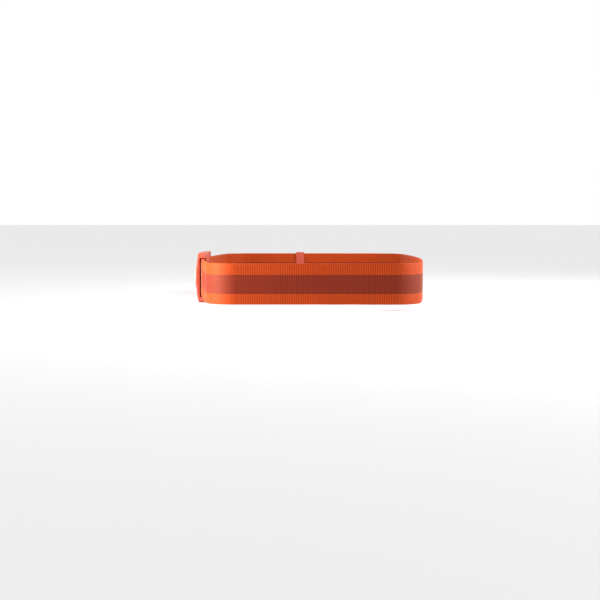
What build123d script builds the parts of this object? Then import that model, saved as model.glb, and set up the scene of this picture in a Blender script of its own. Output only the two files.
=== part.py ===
from build123d import *
from math import acos, atan2, cos, degrees, hypot, sin
import os

# Luggage strap drawn tight round a suitcase and closed with a side-release buckle.
# +X points from the case's front (the buckle's side) to its back, +Y from its near narrow side to its
# far one, +Z up. The origin is the middle of the loop, at half the webbing's width.

# Webbing
WEB_WIDTH = 50
WEB = 1.6  # thickness
FIT = 0.3  # between two layers, or webbing and plastic
STEP = WEB + FIT  # from one layer to the next

# The suitcase inside the loop, seen from above
CASE_HALF_WIDTH = 235  # Y, to the flat narrow sides
CASE_HALF_DEPTH = 131  # X, to the widest point of the corners
CASE_MID_DEPTH = 143  # X, to the crown of the bowed front and back
CORNER_R = 37

# Buckle: along the strap, across it, and out from the case
BUCKLE_WIDTH = 66
END_ROUND = 6  # corner radius of the closed buckle's outline
SEAT = CASE_MID_DEPTH + FIT  # X of the buckle's flat back
RAIL_INNER = WEB_WIDTH / 2 + 0.8
COVER_RISE = 3.4
PLUG_RISE = 2.6

# Socket half
SOCKET_MOUTH = -12
SOCKET_END = 52
BASE_HEIGHT = 8
FLOOR = 1.6
COVER_TOP = 13.2
POCKET_HALF = 26.5  # half width of the space for the prongs
POCKET_END = 37
WINDOW = (14, 36)  # where the prongs' pads show, along the strap
SCOOP_DEPTH = 2.2
SCOOP_R = 60
WEB_SLOT = 39  # where the space for the webbing's fold starts
SOCKET_BAR_X = 42.5
SOCKET_BAR_Z = 3.45
SOCKET_BAR_LENGTH = 4
PEG_R = 1.5
PEG_LENGTH = 3
PEG_PLACES = ((-6, 29.8), (45, 29.4))
MEDALLION_R = 13.6
MEDALLION_X = 20
MEDALLION_SUNK = 1.2
MEDALLION_PROUD = 3.3

# Plug half
PLUG_NOSE = -13
PLUG_PLATE_END = -22
PLUG_END = -52
PLUG_TOP = 10.6
PLUG_BAR_X = -29
PLUG_BAR_Z = 5
PLUG_BAR_LENGTH = 5
PLUG_BAR_TURN = 3.2  # from the bar's middle to the middle of the webbing round it
END_BAR = 6
TONGUE_HALF = 6
TONGUE_TIP = 24
PRONG_Z = (2.1, 7.5)
HINGE = (-15, 21)
HINGE_R = 2.5
HINGE_FIT = 0.08
GRIP_GROOVES = (0.4, 0.53, 0.66, 0.79)  # where the pad is grooved, as shares of its outer side
GRIP_R = 0.55
RIM_ROUND = 1.6  # the top edges of both halves

# Webbing ends
BAR_WEB_TURN = 2.35  # as PLUG_BAR_TURN, round the socket's bar
SOFT_BEND = 8
TIGHT_BEND = 3
BAR_CLEAR = 10  # from the socket's bar to where the fold's two layers meet
SEWN_GAP = 0.05
FOLD_END = 100  # how far the sewn fold reaches from the buckle's middle
TAIL_END = 45  # X of the tail's hemmed end on the far side
HEM = 25

# Keeper
KEEPER_X = -20
KEEPER_LENGTH = 12
KEEPER_WALL = 1.6

# Thread
THREAD = 0.5
STITCH = 2.6
STITCH_PITCH = 3.6
STITCH_EDGE = 5  # from the webbing's edge to the nearest row
BOX_HALF_LENGTH = 16
HEM_ROWS = (-8, -5)  # X from the middle of the hem

BUCKLE = Plane(origin=(-SEAT, 0, 0), x_dir=(0, -1, 0), z_dir=(-1, 0, 0))
CORNER_X = CASE_HALF_DEPTH - CORNER_R
CORNER_Y = CASE_HALF_WIDTH - CORNER_R
CROWN = CASE_MID_DEPTH - CORNER_X
# The radius of the bowed faces that meet the four corners without a kink
FACE_R = (CROWN**2 + CORNER_Y**2 - CORNER_R**2) / (2 * (CROWN - CORNER_R))


def on_buckle(along, out):
    """The point in plan that is this far along the buckle and out from its back."""
    return Vector(-SEAT - out, -along)


def corner(x_sign, y_sign, offset):
    """Where a line this far off the case leaves its bowed face and joins its narrow side."""
    centre = Vector(x_sign * CORNER_X, y_sign * CORNER_Y)
    face_centre = Vector(x_sign * (CASE_MID_DEPTH - FACE_R), 0)
    from_face = (centre - face_centre).normalized()
    leaves = centre + from_face * (CORNER_R + offset)
    joins = Vector(centre.X, y_sign * (CASE_HALF_WIDTH + offset))
    return leaves, joins


def touch(point, offset):
    """Where a straight line from a point lands on the bowed front, on the point's own side of Y = 0."""
    middle = Vector(FACE_R - CASE_MID_DEPTH, 0)
    radius = FACE_R + offset
    away = point - middle
    turn = acos(radius / away.length)
    side = 1 if point.Y > 0 else -1
    angle = atan2(away.Y, away.X) - side * turn
    return middle + Vector(cos(angle), sin(angle)) * radius


def tangent_path(first, second, *others):
    """A straight from first to second, then an arc or a straight on to each of the others, all smooth."""
    edges = [Line(first, second)]
    for end in others:
        start, heading = edges[-1] @ 1, edges[-1] % 1
        reach = (end - start).normalized()
        bent = heading.cross(reach).length > 1e-6
        edges.append(TangentArc(start, end, tangent=heading) if bent else Line(start, end))
    return edges


def webbing(path):
    """A strip of webbing on edge, along a path in plan."""
    return extrude(trace(path, WEB), WEB_WIDTH / 2, both=True)


def between(low, high, half_width, bottom, top):
    """A block of the buckle from low to high along it."""
    block = Box(high - low, 2 * half_width, top - bottom)
    return Pos((low + high) / 2, 0, (bottom + top) / 2) * block


def both_sides(shape):
    return shape + mirror(shape, Plane.XZ)


def rounded_bar(x, z, radius, length, half_width):
    """A bar across the buckle: round towards the buckle's middle line and at its other end."""
    outline = SlotCenterToCenter(length, 2 * radius)
    across = extrude(Plane.XZ * Pos(x, z) * outline, half_width, both=True)
    return across


def dome(top, rise):
    """The space under a crown across the buckle that is highest, at top, on its middle line."""
    half = BUCKLE_WIDTH / 2
    radius = (half**2 + rise**2) / (2 * rise)
    crown = Pos(0, 0, top - radius) * Rot(0, 90, 0) * Cylinder(radius, 3 * BUCKLE_WIDTH)
    return crown


def socket_outline():
    """The socket half from the front: square at its mouth, round at its end, waisted at the pads."""
    length = SOCKET_END - SOCKET_MOUTH
    outline = Pos((SOCKET_END + SOCKET_MOUTH) / 2, 0) * Rectangle(length, BUCKLE_WIDTH)
    outline = fillet(outline.vertices().group_by(Axis.X)[-1], END_ROUND)
    scoop_y = BUCKLE_WIDTH / 2 + SCOOP_R - SCOOP_DEPTH
    for side in (-1, 1):
        outline -= Pos(sum(WINDOW) / 2, side * scoop_y) * Circle(SCOOP_R)
    return outline


def socket_base():
    """The tub under the cover: floor, side rails with their windows, and the bar for the webbing."""
    tub = extrude(socket_outline(), BASE_HEIGHT)
    tub -= between(SOCKET_MOUTH - 1, POCKET_END, POCKET_HALF, FLOOR, BASE_HEIGHT + 1)
    tub -= between(*WINDOW, BUCKLE_WIDTH, FLOOR, BASE_HEIGHT + 1)
    tub -= between(WEB_SLOT, SOCKET_END + 1, RAIL_INNER, -1, BASE_HEIGHT + 1)
    bar_radius = BAR_WEB_TURN - WEB / 2 - FIT
    bar_x = SOCKET_BAR_X + SOCKET_BAR_LENGTH / 2
    tub += rounded_bar(bar_x, SOCKET_BAR_Z, bar_radius, SOCKET_BAR_LENGTH, RAIL_INNER + 0.5)
    rib = Pos(0, TONGUE_HALF + 1.5) * between(-2, TONGUE_TIP - 2, 0.7, FLOOR, FLOOR + 2.4)
    tub += both_sides(rib)
    for x, y in PEG_PLACES:
        hole = Pos(x, y, BASE_HEIGHT - PEG_LENGTH / 2) * Cylinder(PEG_R + 0.05, PEG_LENGTH + 0.4)
        tub -= both_sides(hole)
    bottom_rim = tub.edges().group_by(Axis.Z)[0].filter_by(GeomType.LINE).filter_by(Axis.X)
    return chamfer(bottom_rim.filter_by(lambda e: abs(e.center().Y) > BUCKLE_WIDTH / 2 - 1), 0.8)


def socket_cover():
    """The domed front plate, pegged to the base, with a round recess for the medallion."""
    blank = extrude(Pos(0, 0, BASE_HEIGHT) * socket_outline(), COVER_TOP - BASE_HEIGHT)
    plate = blank & dome(COVER_TOP, COVER_RISE)
    top_rim = plate.edges().filter_by(lambda e: e.center().Z > BASE_HEIGHT + 1)
    top_rim = top_rim.filter_by(lambda e: abs(e.tangent_at(0.5).Z) < 0.5)
    plate = fillet(top_rim, RIM_ROUND)
    for x, y in PEG_PLACES:
        peg = Pos(x, y, BASE_HEIGHT - PEG_LENGTH / 2 + 0.1) * Cylinder(PEG_R, PEG_LENGTH - 0.2)
        plate += both_sides(peg)
    recess_z = COVER_TOP - MEDALLION_SUNK
    plate -= Pos(MEDALLION_X, 0, recess_z + 2) * Cylinder(MEDALLION_R + 0.1, 4)
    return plate


def medallion():
    """A plain round badge: a low crown inside a raised rim."""
    height = MEDALLION_SUNK + MEDALLION_PROUD
    disc = Cylinder(MEDALLION_R, height, align=(Align.CENTER, Align.CENTER, Align.MIN))
    disc = fillet(disc.edges().group_by(Axis.Z)[-1], 1.4)
    groove_outline = Pos(MEDALLION_R - 3.2, height) * Circle(0.5)
    disc -= revolve(Plane.XZ * groove_outline, Axis.Z)
    return Pos(MEDALLION_X, 0, COVER_TOP - MEDALLION_SUNK) * disc


def plug_frame():
    """The plug half without its prongs: rails, two bars for the webbing, nose plate and tongue."""
    outline = Pos((PLUG_END + PLUG_NOSE) / 2, 0) * Rectangle(PLUG_NOSE - PLUG_END, BUCKLE_WIDTH)
    outline = fillet(outline.vertices().group_by(Axis.X)[0], END_ROUND)
    frame = extrude(outline, PLUG_TOP) & dome(PLUG_TOP, PLUG_RISE)
    top_rim = frame.edges().filter_by(lambda e: e.center().Z > PLUG_TOP - PLUG_RISE - 0.5)
    top_rim = top_rim.filter_by(lambda e: abs(e.tangent_at(0.5).Z) < 0.5)
    frame = fillet(top_rim, RIM_ROUND)
    load_top = PLUG_BAR_Z - PLUG_BAR_TURN + WEB / 2
    tail_top = load_top + STEP
    frame -= between(PLUG_END + END_BAR, PLUG_PLATE_END, RAIL_INNER, -1, PLUG_TOP + 1)
    frame -= between(PLUG_END - 1, PLUG_END + END_BAR + 1, RAIL_INNER, -1, tail_top + FIT)
    bar_radius = PLUG_BAR_TURN - WEB / 2 - FIT
    bar_x = PLUG_BAR_X - PLUG_BAR_LENGTH / 2
    frame += rounded_bar(bar_x, PLUG_BAR_Z, bar_radius, PLUG_BAR_LENGTH, RAIL_INNER + 0.5)
    low, high = PRONG_Z
    tongue = between(PLUG_NOSE - 1, TONGUE_TIP, TONGUE_HALF, low, high)
    frame += fillet(tongue.edges().filter_by(Axis.Z).group_by(Axis.X)[-1], 4)
    seat_height = high - low + 2 * FIT
    seat = Cylinder(HINGE_R + HINGE_FIT, seat_height)
    seat += Pos(HINGE_R, -0.5, 0) * Box(2 * HINGE_R, 5, seat_height)
    seat = Pos(*HINGE, (low + high) / 2) * seat
    return frame - both_sides(seat)


def prong():
    """The upper spring arm: round root, slim arm, a catch face, and the pad that the finger presses."""
    low, high = PRONG_Z
    root_x, root_y = HINGE
    catch_x = WINDOW[0] + 0.6
    inner = [(root_x, root_y - 1.8), (12, 20.4), (30, 18.2), (POCKET_END - 1, 20)]
    tip = (POCKET_END - 1, 23)
    pad_start = (catch_x, 29.4)
    outer = [pad_start, (catch_x, 25.6), (4, 23.4), (root_x, root_y + 1.8), inner[0]]
    pad_side = ThreePointArc(tip, (25, 30.6), pad_start)
    edges = [Polyline(*inner, tip), pad_side, Polyline(*outer)]
    arm = extrude(make_face(edges), high - low)
    arm = fillet(arm.edges().filter_by(Axis.Z).sort_by(Axis.X)[-2:], 1.2)
    for share in GRIP_GROOVES:
        groove = Cylinder(GRIP_R, 2 * (high - low))
        arm -= Pos(pad_side @ share) * groove
    root = Pos(root_x, root_y, (high - low) / 2) * Cylinder(HINGE_R, high - low)
    return Pos(0, 0, low) * (arm + root)


def keeper():
    """The moulded loop that holds the tail against the strap."""
    inside_depth = 2 * WEB + 3 * FIT
    inside_width = WEB_WIDTH + 2 * FIT
    solid = Box(KEEPER_LENGTH, inside_depth + 2 * KEEPER_WALL, inside_width + 2 * KEEPER_WALL)
    solid = fillet(solid.edges().filter_by(Axis.X), 1.5)
    solid -= Box(KEEPER_LENGTH + 2, inside_depth, inside_width)
    middle_y = CASE_HALF_WIDTH + WEB + FIT / 2
    return Pos(KEEPER_X, middle_y, 0) * solid


def stitches(plane, start, end):
    """A row of stitches on a face, from start to end in that plane."""
    span = hypot(end[0] - start[0], end[1] - start[1])
    count = int(span // STITCH_PITCH)
    angle = degrees(atan2(end[1] - start[1], end[0] - start[0]))
    margin = (span - (count - 1) * STITCH_PITCH) / 2
    row = []
    for n in range(count):
        along = margin + n * STITCH_PITCH
        dash = Pos(along, 0, THREAD / 2) * Box(STITCH, THREAD, THREAD)
        row.append(plane * Pos(*start) * Rot(0, 0, angle) * dash)
    return row


def fold_path():
    """The sewn end: out along the strap's inner side, round the socket's bar, and back over it."""
    bar_far = SOCKET_BAR_X + SOCKET_BAR_LENGTH
    nose = SOCKET_BAR_X - BAR_WEB_TURN
    under, over = SOCKET_BAR_Z - BAR_WEB_TURN, SOCKET_BAR_Z + BAR_WEB_TURN
    top = on_buckle(bar_far, over)
    heading = (touch(top, WEB / 2) - top).normalized()
    outward = heading.rotate(Axis.Z, -90)
    far = top + heading * (FOLD_END - bar_far)
    drop = outward * (WEB + SEWN_GAP)
    points = [
        far - drop,
        top + heading * BAR_CLEAR - drop,
        on_buckle(bar_far, under),
        on_buckle(nose, under),
        on_buckle(nose, over),
        top,
        far,
    ]
    turn = BAR_WEB_TURN - 0.01
    path = FilletPolyline(*points, radius=[SOFT_BEND, SOFT_BEND, turn, turn, TIGHT_BEND])
    return path, far, heading, outward


def wrap_path():
    """Through the plug: under its end bar, up round its middle bar, and out again over the first layer."""
    nose = PLUG_BAR_X + PLUG_BAR_TURN
    load, over = PLUG_BAR_Z - PLUG_BAR_TURN, PLUG_BAR_Z + PLUG_BAR_TURN
    tail = load + STEP
    drop_start = PLUG_BAR_X - PLUG_BAR_LENGTH - TIGHT_BEND - 1.3
    load_bend, tail_bend = on_buckle(PLUG_END + END_BAR, load), on_buckle(PLUG_END + END_BAR / 2, tail)
    load_heading = (touch(load_bend, WEB / 2) - load_bend).normalized()
    tail_heading = (touch(tail_bend, WEB / 2 + STEP) - tail_bend).normalized()
    points = [
        load_bend + load_heading * END_BAR,
        load_bend,
        on_buckle(nose, load),
        on_buckle(nose, over),
        on_buckle(drop_start, over),
        on_buckle(drop_start - over + tail, tail),
        tail_bend,
        tail_bend + tail_heading * END_BAR / 2,
    ]
    turn = PLUG_BAR_TURN - 0.01
    radii = [SOFT_BEND, turn, turn, TIGHT_BEND, TIGHT_BEND, SOFT_BEND]
    return FilletPolyline(*points, radius=radii)


def tail_end_path(start, heading):
    """Round the far front corner and along the far side to the hem, folded outward on itself."""
    offset = WEB / 2 + STEP
    bend = TangentArc(start, corner(-1, 1, offset)[1], tangent=heading)
    hem_y = CASE_HALF_WIDTH + offset
    points = [bend @ 1, (TAIL_END, hem_y), (TAIL_END, hem_y + STEP), (TAIL_END - HEM, hem_y + STEP)]
    return [bend, *FilletPolyline(*points, radius=STEP / 2 - 0.01).edges()]


def box_rows():
    """The box of stitches with its cross, as start and end points on the sewn fold."""
    x, y = BOX_HALF_LENGTH, WEB_WIDTH / 2 - STITCH_EDGE
    corners = [(-x, -y), (x, -y), (x, y), (-x, y)]
    sides = list(zip(corners, corners[1:] + corners[:1]))
    return sides + [(corners[0], corners[2]), (corners[1], corners[3])]


def sewn(plane, rows):
    return Compound([dash for row in rows for dash in stitches(plane, *row)])


def main():
    end_fold, fold_far, heading, outward = fold_path()
    loop_end = corner(-1, 1, WEB / 2)[0]
    loop = tangent_path(
        fold_far,
        touch(fold_far, WEB / 2),
        *corner(-1, -1, WEB / 2),
        *reversed(corner(1, -1, WEB / 2)),
        *corner(1, 1, WEB / 2),
        *reversed(corner(-1, 1, WEB / 2)),
    )
    bar_wrap = wrap_path()
    load_start, tail_start = bar_wrap @ 0, bar_wrap @ 1
    plug_run = tangent_path(load_start, touch(load_start, WEB / 2), loop_end)
    tail_offset = WEB / 2 + STEP
    tail_corner = corner(-1, 1, tail_offset)[0]
    tail_front = tangent_path(tail_start, touch(tail_start, tail_offset), tail_corner)
    tail_end = tail_end_path(tail_corner, tail_front[-1] % 1)

    box_middle = fold_far - heading * (FOLD_END - SOCKET_BAR_X - SOCKET_BAR_LENGTH) / 2
    box_face = Plane(origin=box_middle + outward * WEB / 2, x_dir=heading, z_dir=outward)
    hem_middle = Vector(TAIL_END - HEM / 2, CASE_HALF_WIDTH + tail_offset + STEP + WEB / 2)
    hem_face = Plane(origin=hem_middle, x_dir=(1, 0, 0), z_dir=(0, 1, 0))
    row_reach = WEB_WIDTH / 2 - STITCH_EDGE
    hem_rows = [((x, -row_reach), (x, row_reach)) for x in HEM_ROWS]

    upper = prong()
    nodes = {
        "webbing_loop": webbing(loop),
        "webbing_end_fold": webbing(end_fold.edges()),
        "webbing_plug_run": webbing(plug_run),
        "webbing_bar_wrap": webbing(bar_wrap.edges()),
        "webbing_tail_front": webbing(tail_front),
        "webbing_tail_end": webbing(tail_end),
        "box_stitch": sewn(box_face, box_rows()),
        "hem_stitch": sewn(hem_face, hem_rows),
        "socket_base": BUCKLE * socket_base(),
        "socket_cover": BUCKLE * socket_cover(),
        "medallion": BUCKLE * medallion(),
        "plug_frame": BUCKLE * plug_frame(),
        "upper_prong": BUCKLE * upper,
        "lower_prong": BUCKLE * mirror(upper, Plane.XZ),
        "keeper": keeper(),
    }
    os.makedirs("parts", exist_ok=True)
    for name, shape in nodes.items():
        export_step(shape, f"parts/{name}.step")
    webs = [loop, end_fold.edges(), plug_run, bar_wrap.edges(), tail_front, tail_end]
    print("webbing, mm:", round(sum(edge.length for web in webs for edge in web)))


main()
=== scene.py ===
from cmath import phase, rect
from math import acos, ceil, cos, pi, sin, tan

import bpy
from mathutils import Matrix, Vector


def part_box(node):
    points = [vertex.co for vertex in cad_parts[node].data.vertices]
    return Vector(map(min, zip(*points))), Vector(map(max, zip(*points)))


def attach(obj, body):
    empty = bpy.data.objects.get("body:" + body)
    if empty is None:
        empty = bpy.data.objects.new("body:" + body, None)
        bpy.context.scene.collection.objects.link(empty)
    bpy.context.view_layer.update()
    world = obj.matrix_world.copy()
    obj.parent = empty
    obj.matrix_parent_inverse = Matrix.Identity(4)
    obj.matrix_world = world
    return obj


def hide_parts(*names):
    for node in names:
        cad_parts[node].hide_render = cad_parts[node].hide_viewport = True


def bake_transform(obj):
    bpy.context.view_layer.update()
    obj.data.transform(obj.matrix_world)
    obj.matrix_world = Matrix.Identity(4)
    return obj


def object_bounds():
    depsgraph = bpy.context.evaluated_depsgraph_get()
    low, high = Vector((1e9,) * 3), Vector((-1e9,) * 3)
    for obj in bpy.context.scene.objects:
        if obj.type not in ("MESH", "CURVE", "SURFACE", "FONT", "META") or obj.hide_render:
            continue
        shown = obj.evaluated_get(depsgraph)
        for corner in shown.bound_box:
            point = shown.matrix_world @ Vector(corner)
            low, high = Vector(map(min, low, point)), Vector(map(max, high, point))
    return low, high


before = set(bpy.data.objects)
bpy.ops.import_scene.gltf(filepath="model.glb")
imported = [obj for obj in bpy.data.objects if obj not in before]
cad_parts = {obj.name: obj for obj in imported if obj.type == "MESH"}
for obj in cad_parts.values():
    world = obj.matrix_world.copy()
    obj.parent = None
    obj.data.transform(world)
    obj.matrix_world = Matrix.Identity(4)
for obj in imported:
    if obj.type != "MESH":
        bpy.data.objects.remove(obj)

cad_low, cad_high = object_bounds()

# ---------------------------------------------------------------- sizes, in metres, in the CAD frame

WEB_WIDTH = 0.050
WEB = 0.0016  # thickness
FIT = 0.0003
STEP = WEB + FIT  # from one layer of webbing to the next
loop_low, loop_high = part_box("webbing_loop")
socket_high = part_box("socket_base")[1]
plug_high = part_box("plug_frame")[1]

CASE_HALF_WIDTH = loop_high.y - WEB
CASE_MID_DEPTH = loop_high.x - WEB
CASE_HALF_DEPTH = 0.131
CORNER_R = 0.037
SEAT = -socket_high.x  # X of the buckle's flat back, measured towards the front
CORNER_X = CASE_HALF_DEPTH - CORNER_R
CORNER_Y = CASE_HALF_WIDTH - CORNER_R
CROWN = CASE_MID_DEPTH - CORNER_X
FACE_R = (CROWN**2 + CORNER_Y**2 - CORNER_R**2) / (2 * (CROWN - CORNER_R))

# The bars that the webbing turns round: along the buckle, out from its back, and the turn's radius
SOCKET_BAR = (0.0425, 0.00345, 0.00235)
SOCKET_BAR_LENGTH = 0.004
PLUG_BAR = (-0.029, 0.005, 0.0032)
PLUG_BAR_LENGTH = 0.005
DROP_SPACE = 0.0013  # room past the plug's bar before the webbing starts down
PLUG_END = -plug_high.y
END_BAR = 0.006
TIGHT_BEND = 0.003
SOFT_BEND = 0.008
BAR_CLEAR = 0.010
SEWN_GAP = 0.00005
FOLD_END = 0.100
TAIL_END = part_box("webbing_tail_end")[1].x - WEB / 2 - STEP / 2
HEM = 0.025

# ---------------------------------------------------------------- the webbing's path in plan
# A point or a heading in plan is a complex number, X + Yi: i times a heading is the same turned left.


def on_buckle(along, out):
    """The point in plan that is this far along the buckle and out from its back."""
    return complex(-SEAT - out, -along)


def corner(x_sign, y_sign, offset):
    """Where a line this far off the case leaves its bowed face, and where it joins its narrow side."""
    centre = complex(x_sign * CORNER_X, y_sign * CORNER_Y)
    from_face = centre - x_sign * (CASE_MID_DEPTH - FACE_R)
    leaves = centre + from_face / abs(from_face) * (CORNER_R + offset)
    return leaves, complex(centre.real, y_sign * (CASE_HALF_WIDTH + offset))


def touch(point, offset):
    """Where a straight line from a point lands on the bowed front, on the point's own side of Y = 0."""
    middle = FACE_R - CASE_MID_DEPTH
    away = point - middle
    side = 1 if point.imag > 0 else -1
    return middle + rect(FACE_R + offset, phase(away) - side * acos((FACE_R + offset) / abs(away)))


class Path:
    """A smooth line in plan that is drawn on from its end, as straight runs and tangent arcs."""

    def __init__(self, start, heading):
        self.runs = []
        self.length = 0.0
        self.point = start
        self.heading = heading / abs(heading)

    def add(self, length, bend, end):
        self.runs.append((self.length, self.point, self.heading, bend))
        self.heading *= rect(1, length * bend)
        self.length += length
        self.point = end
        return self

    def straight_to(self, end):
        return self.add(abs(end - self.point), 0.0, end)

    def arc_to(self, end):
        """The arc that leaves along the heading and ends at a point."""
        reach = end - self.point
        half_turn = phase(reach / self.heading)
        if abs(half_turn) < 1e-6:
            return self.straight_to(end)
        radius = abs(reach) / (2 * sin(half_turn))
        return self.add(radius * 2 * half_turn, 1 / radius, end)

    def through(self, points, radii):
        """Straight runs from point to point with each corner rounded; the last point ends the path."""
        for bend, after, radius in zip(points, points[1:], radii):
            onward = (after - bend) / abs(after - bend)
            back = radius * abs(tan(phase(onward / self.heading) / 2))
            self.straight_to(bend - self.heading * back)
            self.arc_to(bend + onward * back)
        return self.straight_to(points[-1])

    def at(self, distance):
        """The point and the heading at a distance along the path."""
        begins, start, heading, bend = [run for run in self.runs if run[0] <= distance][-1]
        along = distance - begins
        if not bend:
            return start + heading * along, heading
        turned = heading * rect(1, along * bend)
        return start + 1j * (heading - turned) / bend, turned


def socket_path():
    """From the fold's end, in round the socket's bar, out again and round the case to the far front."""
    bar_x, bar_z, turn = SOCKET_BAR
    bar_far, nose = bar_x + SOCKET_BAR_LENGTH, bar_x - turn
    top = on_buckle(bar_far, bar_z + turn)
    lands = touch(top, WEB / 2)
    heading = (lands - top) / abs(lands - top)
    drop = -1j * heading * (WEB + SEWN_GAP)
    points = [
        top + heading * BAR_CLEAR - drop,
        on_buckle(bar_far, bar_z - turn),
        on_buckle(nose, bar_z - turn),
        on_buckle(nose, bar_z + turn),
        top,
        lands,
    ]
    path = Path(top + heading * (FOLD_END - bar_far) - drop, -heading)
    path.through(points, [SOFT_BEND, SOFT_BEND, turn, turn, TIGHT_BEND])
    for x_sign, y_sign in ((-1, -1), (1, -1), (1, 1), (-1, 1)):
        leaves, joins = corner(x_sign, y_sign, WEB / 2)
        first, second = (leaves, joins) if x_sign == y_sign else (joins, leaves)
        path.arc_to(first).arc_to(second)
    return path


def plug_path():
    """From the far front corner to the plug, up round its bar, and back over itself to that corner."""
    bar_x, bar_z, turn = PLUG_BAR
    load, over = bar_z - turn, bar_z + turn
    tail = load + STEP
    nose = bar_x + turn
    drop_start = bar_x - PLUG_BAR_LENGTH - TIGHT_BEND - DROP_SPACE
    load_bend = on_buckle(PLUG_END + END_BAR, load)
    tail_bend = on_buckle(PLUG_END + END_BAR / 2, tail)
    start = corner(-1, 1, WEB / 2)[0]
    points = [
        load_bend,
        on_buckle(nose, load),
        on_buckle(nose, over),
        on_buckle(drop_start, over),
        on_buckle(drop_start - over + tail, tail),
        tail_bend,
        touch(tail_bend, WEB / 2 + STEP),
    ]
    path = Path(start, 1j * (start - (FACE_R - CASE_MID_DEPTH)))
    path.arc_to(touch(load_bend, WEB / 2))
    path.through(points, [SOFT_BEND, turn, turn, TIGHT_BEND, TIGHT_BEND, SOFT_BEND])
    return path.arc_to(corner(-1, 1, WEB / 2 + STEP)[0])


def tail_path(heading):
    """Round the far front corner and along the far side to the hem, which is folded outward."""
    offset = WEB / 2 + STEP
    start, side = corner(-1, 1, offset)
    end = complex(TAIL_END + STEP / 2, CASE_HALF_WIDTH + offset)
    path = Path(start, heading).arc_to(side)
    return path.through([end, end + 1j * STEP, end + 1j * STEP - HEM], [STEP / 2, STEP / 2])


# ---------------------------------------------------------------- webbing meshes

RIB = 0.0014  # from one pick of the weave to the next
RIB_RISE = (-0.00012, 0.00012, -0.00012, 0.00003)  # valley, high pick, valley, low pick
SELVEDGE = 0.0016  # how far in from each edge the webbing thins
EDGE_THIN = 0.72  # the edge's thickness, as a share of the middle's
SCALLOP = 0.003  # how much wider the webbing is at a high pick


def web_section():
    """Half the outline of the webbing cut across, from its lower edge to its upper: across, out."""
    half = WEB_WIDTH / 2
    count = 16
    inner = half - SELVEDGE
    flat = [(-inner + 2 * inner * n / count, 1.0) for n in range(count + 1)]
    edge = [(half, 0.0), (half - 0.00018, 0.42), (half - 0.0006, EDGE_THIN)]
    lower = [(-x, z) for x, z in edge]
    return lower + flat + edge[::-1]


def closed_section():
    """The whole outline as (across, out) pairs, with out in halves of the thickness."""
    outer = web_section()
    inner = [(x, -z) for x, z in outer[-2:0:-1]]
    return outer + inner


def ring_count(path):
    """Two rings to a pick, and a whole number of the weave's two-pick repeats."""
    return 4 * ceil(path.length / RIB / 2)


def webbing_mesh(name, path, rings_before=0):
    """A strip of webbing along a path, ribbed by its weave, with the cloth's own coordinates kept."""
    section = closed_section()
    rings = ring_count(path)
    count = len(section)
    vertices, faces, cloth = [], [], []
    for n in range(rings + 1):
        distance = path.length * n / rings
        point, heading = path.at(distance)
        rise = RIB_RISE[n % 4]
        for across, out in section:
            place = point - 1j * heading * (WEB / 2 + rise) * out
            vertices.append((place.real, place.imag, across * (1 + SCALLOP * rise / RIB_RISE[1])))
            cloth.append(((rings_before + n) * RIB / 2, across, out))
    for n in range(rings):
        for m in range(count):
            a, b = n * count + m, n * count + (m + 1) % count
            faces.append((a, b, b + count, a + count))
    last = rings * count
    faces.append(tuple(range(count - 1, -1, -1)))
    faces.append(tuple(range(last, last + count)))
    mesh = bpy.data.meshes.new(name)
    mesh.from_pydata(vertices, [], faces)
    mesh.polygons.foreach_set("use_smooth", [True] * len(faces))
    coordinates = mesh.attributes.new("cloth", "FLOAT_VECTOR", "POINT")
    coordinates.data.foreach_set("vector", [c for row in cloth for c in row])
    mesh.update()
    sharpen_ends(mesh, count, last)
    piece = bpy.data.objects.new(name, mesh)
    bpy.context.collection.objects.link(piece)
    return piece


def sharpen_ends(mesh, count, last):
    """Keeps the shading of the two cut ends apart from the strip's own."""
    ends = set(range(count)), set(range(last, last + count))
    for edge in mesh.edges:
        if any(set(edge.vertices) <= end for end in ends):
            edge.use_edge_sharp = True


# ---------------------------------------------------------------- materials


def material(name):
    made = bpy.data.materials.new(name)
    made.use_nodes = True
    nodes = made.node_tree.nodes
    return made, nodes, made.node_tree.links, nodes["Principled BSDF"]


def maths(nodes, links, operation, *values):
    """A Math node whose inputs are sockets or numbers; gives its output."""
    node = nodes.new("ShaderNodeMath")
    node.operation = operation
    for socket, value in zip(node.inputs, values):
        if isinstance(value, (int, float)):
            socket.default_value = value
        else:
            links.new(value, socket)
    return node.outputs[0]


def mixed(nodes, links, factor, first, second, blend="MIX"):
    """A colour mix whose inputs are sockets, numbers or colours; gives its output."""
    node = nodes.new("ShaderNodeMix")
    node.data_type = "RGBA"
    node.blend_type = blend
    for socket, value in ((node.inputs[0], factor), (node.inputs[6], first), (node.inputs[7], second)):
        if isinstance(value, bpy.types.NodeSocket):
            links.new(value, socket)
        else:
            socket.default_value = value
    return node.outputs[2]


def noise(nodes, links, vector, scale, detail=2.0):
    node = nodes.new("ShaderNodeTexNoise")
    node.inputs["Scale"].default_value = scale
    node.inputs["Detail"].default_value = detail
    if vector is not None:
        links.new(vector, node.inputs["Vector"])
    return node.outputs["Fac"]


def ranged(nodes, links, value, low, high, to_low, to_high):
    node = nodes.new("ShaderNodeMapRange")
    for socket, number in zip(node.inputs[1:5], (low, high, to_low, to_high)):
        socket.default_value = number
    links.new(value, node.inputs[0])
    return node.outputs[0]


ORANGE = (0.44, 0.050, 0.005, 1)
RUST = (0.205, 0.0205, 0.0085, 1)
STRIPE_HALF = 0.0117
STRIPE_SHIFT = -0.0004
YARN = 0.0008  # from one warp yarn to the next


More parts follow.
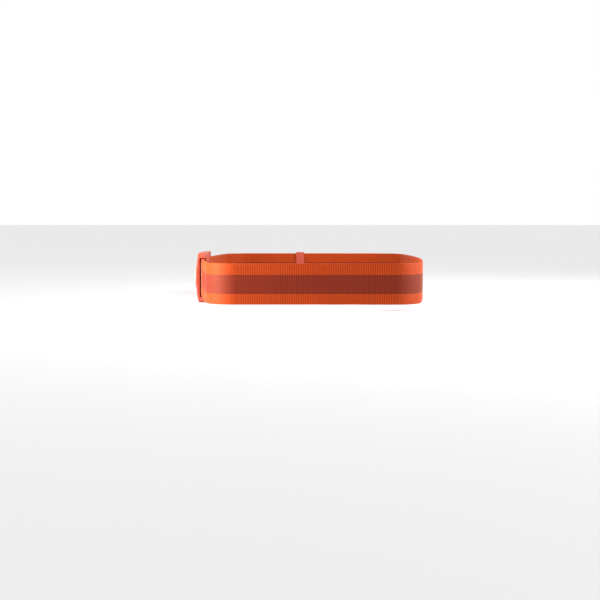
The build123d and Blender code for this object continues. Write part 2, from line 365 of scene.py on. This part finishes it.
def webbing_material():
    """Striped polyester webbing: warp yarns that pass over the picks in turn, brick fashion, with
    painted shade in the weave's hollows and painted light and shade on its high and low picks.
    """
    made, nodes, links, shader = material("striped_webbing")
    cloth = nodes.new("ShaderNodeAttribute")
    cloth.attribute_name = "cloth"
    split = nodes.new("ShaderNodeSeparateXYZ")
    links.new(cloth.outputs["Vector"], split.inputs[0])
    along, across = split.outputs[0], split.outputs[1]

    # each yarn floats over every second pick, and its neighbours over the picks between
    yarn_at = maths(nodes, links, "DIVIDE", across, YARN)
    yarn = maths(nodes, links, "FLOOR", yarn_at)
    in_yarn = maths(nodes, links, "FRACT", yarn_at)
    odd = maths(nodes, links, "MODULO", maths(nodes, links, "ABSOLUTE", yarn), 2.0)
    pick_at = maths(nodes, links, "DIVIDE", along, 2 * RIB)
    pick_at = maths(nodes, links, "ADD", pick_at, maths(nodes, links, "MULTIPLY", odd, 0.5))
    float_wave = maths(nodes, links, "SINE", maths(nodes, links, "MULTIPLY", pick_at, 2 * pi))
    float_rise = ranged(nodes, links, float_wave, -0.5, 0.6, 0.0, 1.0)
    float_rise = maths(nodes, links, "MULTIPLY", float_rise, ranged(nodes, links, odd, 0, 1, 1.0, 0.5))
    round_yarn = maths(nodes, links, "SINE", maths(nodes, links, "MULTIPLY", in_yarn, pi))
    weave = maths(nodes, links, "MULTIPLY", float_rise, maths(nodes, links, "POWER", round_yarn, 0.6))

    # filaments along each yarn, unlike dye from yarn to yarn, and a slow unevenness along the strip
    stretched = nodes.new("ShaderNodeCombineXYZ")
    links.new(maths(nodes, links, "MULTIPLY", along, 700.0), stretched.inputs[0])
    links.new(maths(nodes, links, "MULTIPLY", across, 9000.0), stretched.inputs[1])
    filaments = noise(nodes, links, stretched.outputs[0], 1.0, 3.0)
    slow = noise(nodes, links, cloth.outputs["Vector"], 28.0, 3.0)
    per_yarn = nodes.new("ShaderNodeTexWhiteNoise")
    per_yarn.noise_dimensions = "1D"
    links.new(yarn, per_yarn.inputs["W"])
    pick_place = nodes.new("ShaderNodeCombineXYZ")
    links.new(maths(nodes, links, "MULTIPLY", along, 450.0), pick_place.inputs[0])
    links.new(maths(nodes, links, "MULTIPLY", across, 500.0), pick_place.inputs[1])
    uneven_picks = noise(nodes, links, pick_place.outputs[0], 1.0, 2.0)

    # the stripes' borders step in and out with the floats
    ragged = maths(nodes, links, "MULTIPLY", maths(nodes, links, "SUBTRACT", float_rise, 0.5), 0.00035)
    from_middle = maths(nodes, links, "ABSOLUTE", maths(nodes, links, "SUBTRACT", across, STRIPE_SHIFT))
    edge = maths(nodes, links, "SUBTRACT", maths(nodes, links, "ADD", from_middle, ragged), STRIPE_HALF)
    border = ranged(nodes, links, edge, -0.00012, 0.00012, 0.0, 1.0)
    base = mixed(nodes, links, border, RUST, ORANGE)
    # painted shade: the colour is darkened between the yarns and where each yarn dips under a pick, in
    # the weave's hollows
    valley = mixed(nodes, links, 1.0, base, (0.52, 0.40, 0.38, 1), "MULTIPLY")
    weave_with_painted_shade = mixed(nodes, links, ranged(nodes, links, weave, 0.0, 0.6, 0.0, 1.0), valley, base)
    # painted light and shade: the colour is lighter on the high picks and darker on the low ones, in
    # step with the mesh's ribs
    painted_rib_light_and_shade = maths(nodes, links, "SINE", maths(nodes, links, "MULTIPLY", along, pi / RIB))
    tones = (
        ranged(nodes, links, filaments, 0.3, 0.7, -0.10, 0.10),
        ranged(nodes, links, per_yarn.outputs["Value"], 0.0, 1.0, -0.05, 0.05),
        ranged(nodes, links, slow, 0.3, 0.7, -0.03, 0.03),
        ranged(nodes, links, uneven_picks, 0.3, 0.7, -0.05, 0.05),
        ranged(nodes, links, painted_rib_light_and_shade, -1.0, 1.0, -0.20, 0.20),
    )
    value = 1.12
    for tone in tones:
        value = maths(nodes, links, "ADD", tone, value)
    toned = nodes.new("ShaderNodeHueSaturation")
    links.new(value, toned.inputs["Value"])
    links.new(weave_with_painted_shade, toned.inputs["Color"])
    links.new(toned.outputs[0], shader.inputs["Base Color"])

    links.new(ranged(nodes, links, filaments, 0.2, 0.8, 0.44, 0.62), shader.inputs["Roughness"])
    shader.inputs["Sheen Weight"].default_value = 0.10
    shader.inputs["Sheen Roughness"].default_value = 0.30
    shader.inputs["Sheen Tint"].default_value = (1.0, 0.62, 0.30, 1)
    shader.inputs["Specular IOR Level"].default_value = 0.20
    shader.inputs["Specular Tint"].default_value = (1.0, 0.70, 0.42, 1)

    height = maths(nodes, links, "ADD", weave, maths(nodes, links, "MULTIPLY", filaments, 0.15))
    bump = nodes.new("ShaderNodeBump")
    bump.inputs["Strength"].default_value = 0.8
    bump.inputs["Distance"].default_value = 0.00025
    links.new(height, bump.inputs["Height"])
    links.new(bump.outputs[0], shader.inputs["Normal"])
    return made


def thread_material():
    made, nodes, links, shader = material("sewing_thread")
    place = nodes.new("ShaderNodeTexCoord").outputs["Object"]
    fibres = noise(nodes, links, place, 2600.0, 2.0)
    colour = mixed(nodes, links, fibres, (0.50, 0.060, 0.010, 1), (0.78, 0.14, 0.025, 1))
    links.new(colour, shader.inputs["Base Color"])
    shader.inputs["Roughness"].default_value = 0.42
    shader.inputs["Sheen Weight"].default_value = 0.3
    bump = nodes.new("ShaderNodeBump")
    bump.inputs["Strength"].default_value = 0.5
    bump.inputs["Distance"].default_value = 0.0001
    links.new(fibres, bump.inputs["Height"])
    links.new(bump.outputs[0], shader.inputs["Normal"])
    return made


def plastic_material(name, colour, grain):
    """Moulded acetal: spark-eroded grain, faint flow in its colour, and edges rubbed paler."""
    made, nodes, links, shader = material(name)
    place = nodes.new("ShaderNodeTexCoord").outputs["Object"]
    flow = noise(nodes, links, place, 35.0, 3.0)
    fine = noise(nodes, links, place, 2400.0, 3.0)
    medium = noise(nodes, links, place, 850.0, 2.0)
    edges = nodes.new("ShaderNodeNewGeometry").outputs["Pointiness"]
    worn = ranged(nodes, links, edges, 0.53, 0.60, 0.0, 0.35)
    pale = tuple(min(1.0, c * 1.35 + 0.06) for c in colour[:3]) + (1,)
    deep = tuple(c * 0.86 for c in colour[:3]) + (1,)
    base = mixed(nodes, links, ranged(nodes, links, flow, 0.35, 0.65, 0.0, 1.0), deep, colour)
    links.new(mixed(nodes, links, worn, base, pale), shader.inputs["Base Color"])
    rough = ranged(nodes, links, medium, 0.3, 0.7, 0.34, 0.46)
    links.new(rough, shader.inputs["Roughness"])
    shader.inputs["Specular IOR Level"].default_value = 0.40
    shader.inputs["Subsurface Weight"].default_value = 0.05
    shader.inputs["Subsurface Radius"].default_value = (0.0016, 0.0006, 0.0003)
    shader.inputs["Subsurface Scale"].default_value = 1.0
    height = maths(nodes, links, "ADD", fine, maths(nodes, links, "MULTIPLY", medium, 0.8))
    bump = nodes.new("ShaderNodeBump")
    bump.inputs["Strength"].default_value = grain
    bump.inputs["Distance"].default_value = 0.00018
    links.new(height, bump.inputs["Height"])
    links.new(bump.outputs[0], shader.inputs["Normal"])
    return made


def badge_material():
    """A satin champagne badge, turned on its face so that fine rings catch the light."""
    made, nodes, links, shader = material("badge_satin")
    low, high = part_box("medallion")
    place = nodes.new("ShaderNodeTexCoord").outputs["Object"]
    offset = nodes.new("ShaderNodeVectorMath")
    offset.operation = "SUBTRACT"
    links.new(place, offset.inputs[0])
    offset.inputs[1].default_value = (low + high) / 2
    split = nodes.new("ShaderNodeSeparateXYZ")
    links.new(offset.outputs[0], split.inputs[0])
    y2 = maths(nodes, links, "POWER", maths(nodes, links, "ABSOLUTE", split.outputs[1]), 2.0)
    z2 = maths(nodes, links, "POWER", maths(nodes, links, "ABSOLUTE", split.outputs[2]), 2.0)
    radius = maths(nodes, links, "SQRT", maths(nodes, links, "ADD", y2, z2))
    ring_at = nodes.new("ShaderNodeCombineXYZ")
    links.new(maths(nodes, links, "MULTIPLY", radius, 5200.0), ring_at.inputs[0])
    rings = noise(nodes, links, ring_at.outputs[0], 1.0, 2.0)
    colour = mixed(nodes, links, rings, (0.46, 0.35, 0.27, 1), (0.56, 0.45, 0.36, 1))
    links.new(colour, shader.inputs["Base Color"])
    links.new(ranged(nodes, links, rings, 0.3, 0.7, 0.26, 0.40), shader.inputs["Roughness"])
    shader.inputs["Metallic"].default_value = 0.35
    bump = nodes.new("ShaderNodeBump")
    bump.inputs["Strength"].default_value = 0.5
    bump.inputs["Distance"].default_value = 0.00008
    links.new(rings, bump.inputs["Height"])
    links.new(bump.outputs[0], shader.inputs["Normal"])
    return made


def floor_material():
    made, nodes, links, shader = material("pale_floor")
    shader.inputs["Base Color"].default_value = (0.80, 0.80, 0.80, 1)
    shader.inputs["Roughness"].default_value = 0.7
    return made


# ---------------------------------------------------------------- thread

THREAD_R = 0.00027
STITCH = 0.0030
PITCH = 0.0036
STITCH_RISE = 0.00042
STITCH_SINK = 0.00028  # how far a stitch's two ends lie below the cloth's face


def stitch(vertices, faces, start, direction, normal):
    """One stitch: a fine tube that rises out of the cloth, lies along it and dives back in."""
    side = normal.cross(direction)
    rings, corners = 8, 7
    first = len(vertices)
    for n in range(rings + 1):
        share = n / rings
        lift = sin(pi * share) ** 0.5 * STITCH_RISE - STITCH_SINK
        middle = start + direction * (STITCH * share) + normal * lift
        radius = THREAD_R * (0.75 + 0.25 * sin(pi * share))
        for m in range(corners):
            angle = 2 * pi * m / corners + share * 2.2
            vertices.append(middle + (side * cos(angle) + normal * sin(angle)) * radius)
    for n in range(rings):
        for m in range(corners):
            a, b = first + n * corners + m, first + n * corners + (m + 1) % corners
            faces.append((a, b, b + corners, a + corners))
    last = first + rings * corners
    faces.append(tuple(range(first + corners - 1, first - 1, -1)))
    faces.append(tuple(range(last, last + corners)))


def sew(name, origin, along, normal, rows, underside):
    """Rows of stitches on a flat stretch of cloth, and the same rows on its other side."""
    up = Vector((0, 0, 1))
    vertices, faces = [], []
    for start, end in rows:
        a = origin + along * start[0] + up * start[1]
        b = origin + along * end[0] + up * end[1]
        direction = (b - a).normalized()
        count = int((b - a).length // PITCH)
        margin = ((b - a).length - (count - 1) * PITCH - STITCH) / 2
        for n in range(count):
            place = a + direction * (margin + n * PITCH)
            stitch(vertices, faces, place, direction, normal)
            stitch(vertices, faces, place - normal * underside, direction, -normal)
    mesh = bpy.data.meshes.new(name)
    mesh.from_pydata(vertices, [], faces)
    mesh.polygons.foreach_set("use_smooth", [True] * len(faces))
    piece = bpy.data.objects.new(name, mesh)
    bpy.context.collection.objects.link(piece)
    return piece


# ---------------------------------------------------------------- build the strap


def finish_piece(piece, surface, body, slot, *nodes):
    piece.data.materials.append(surface)
    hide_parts(*nodes)
    if body:
        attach(piece, body)
    return piece


webbing = webbing_material()
thread = thread_material()

socket_side = socket_path()
plug_side = plug_path()
tail_side = tail_path(plug_side.heading)

strap = webbing_mesh("strap_webbing", socket_side)
finish_piece(strap, webbing, "strap", "webbing", "webbing_loop", "webbing_end_fold")

adjusting = webbing_mesh("plug_webbing", plug_side, ring_count(socket_side))
plug_nodes = "webbing_plug_run", "webbing_bar_wrap", "webbing_tail_front"
finish_piece(adjusting, webbing, None, "webbing", *plug_nodes)
corner_y = corner(-1, 1, 0)[0].imag
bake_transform(adjusting)

tail = webbing_mesh("tail_webbing", tail_side, ring_count(socket_side) + ring_count(plug_side))
finish_piece(tail, webbing, "strap", "webbing", "webbing_tail_end")

fold_bar_far = SOCKET_BAR[0] + SOCKET_BAR_LENGTH
fold_top = on_buckle(fold_bar_far, SOCKET_BAR[1] + SOCKET_BAR[2])
fold_run = touch(fold_top, WEB / 2) - fold_top
fold_run /= abs(fold_run)
fold_middle = fold_top + fold_run * (FOLD_END - fold_bar_far) / 2 - 1j * fold_run * WEB / 2
run_along = Vector((fold_run.real, fold_run.imag, 0))
run_out = Vector((fold_run.imag, -fold_run.real, 0))
BOX_X, BOX_Y = 0.016, WEB_WIDTH / 2 - 0.005  # half the sewn box, along and across the strip
box = [(-BOX_X, -BOX_Y), (BOX_X, -BOX_Y), (BOX_X, BOX_Y), (-BOX_X, BOX_Y)]
box_rows = list(zip(box, box[1:] + box[:1])) + [(box[0], box[2]), (box[1], box[3])]
box_origin = Vector((fold_middle.real, fold_middle.imag, 0))
box_thread = sew("box_stitching", box_origin, run_along, run_out, box_rows, 2 * WEB + SEWN_GAP)
finish_piece(box_thread, thread, "strap", "thread", "box_stitch")

hem_outer = CASE_HALF_WIDTH + 2 * STEP + WEB
hem_origin = Vector((TAIL_END - HEM / 2, hem_outer, 0))
HEM_ROWS = (-0.008, -0.005)  # along the strip from the hem's middle
hem_rows = [((x, -BOX_Y), (x, BOX_Y)) for x in HEM_ROWS]
hem_thread = sew("hem_stitching", hem_origin, Vector((1, 0, 0)), Vector((0, 1, 0)), hem_rows, WEB + STEP)
finish_piece(hem_thread, thread, "strap", "thread", "hem_stitch")

# ---------------------------------------------------------------- hard parts keep their CAD shape

coral = plastic_material("coral_plastic", (0.37, 0.036, 0.011, 1), 0.50)
prong_coral = plastic_material("prong_plastic", (0.33, 0.030, 0.009, 1), 0.20)
badge = badge_material()
surfaces = {
    "socket_base": coral,
    "socket_cover": coral,
    "plug_frame": coral,
    "keeper": coral,
    "upper_prong": prong_coral,
    "lower_prong": prong_coral,
    "medallion": badge,
}
for node, surface in surfaces.items():
    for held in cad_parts[node].material_slots:
        held.material = surface

# ---------------------------------------------------------------- floor, light and camera

FLOOR_SIZE = 30
FLOOR_GAP = 0.0005
bpy.ops.mesh.primitive_plane_add(size=FLOOR_SIZE, location=(0, 0, cad_low.z - FLOOR_GAP))
floor = bpy.context.object
floor.name = "floor"
floor.data.materials.append(floor_material())

# a pale room: a bright backdrop beyond the strap's far side, and little light from the near side
world = bpy.data.worlds.new("world")
bpy.context.scene.world = world
world.use_nodes = True
world_nodes, world_links = world.node_tree.nodes, world.node_tree.links
direction = world_nodes.new("ShaderNodeSeparateXYZ")
world_links.new(world_nodes.new("ShaderNodeTexCoord").outputs["Generated"], direction.inputs[0])
background = world_nodes["Background"]
background.inputs["Color"].default_value = (1, 1, 1, 1)
strength = ranged(world_nodes, world_links, direction.outputs[1], -0.2, 0.7, 0.30, 1.0)
world_links.new(strength, background.inputs["Strength"])


def lamp(name, place, target, size, power, spread):
    data = bpy.data.lights.new(name, "AREA")
    data.shape = "RECTANGLE"
    data.size, data.size_y = size
    data.energy = power
    data.spread = spread
    made = bpy.data.objects.new(name, data)
    made.location = place
    made.rotation_euler = (Vector(target) - Vector(place)).to_track_quat("-Z", "Y").to_euler()
    made.visible_camera = False
    bpy.context.collection.objects.link(made)


lamp("key_left", (-0.50, -0.325, 0.12), (-0.05, -0.225, 0), (0.12, 0.40), 4.4, 2.1)
lamp("rim_right", (0.82, -0.20, 0.42), (0.12, -0.20, 0), (0.5, 0.8), 10.0, 2.6)

overhead = bpy.data.lights.new("overhead", "SUN")
overhead.energy = 1.4
overhead.angle = 1.2
bpy.context.collection.objects.link(bpy.data.objects.new("overhead", overhead))

CAMERA_BACK = 1.80  # from the strap's near side
CAMERA_UP = 0.0835
CAMERA_DOWN = 0.0570  # radians that it looks below the level
CAMERA_LEFT = 0.0090
camera_data = bpy.data.cameras.new("camera")
camera_data.lens = 89.6
camera_data.sensor_width = 36
camera = bpy.data.objects.new("camera", camera_data)
camera.location = (0.0, loop_low.y - CAMERA_BACK, CAMERA_UP)
camera.rotation_euler = (pi / 2 - CAMERA_DOWN, 0, CAMERA_LEFT)
bpy.context.collection.objects.link(camera)
bpy.context.scene.camera = camera
bpy.context.scene.view_settings.view_transform = "Standard"
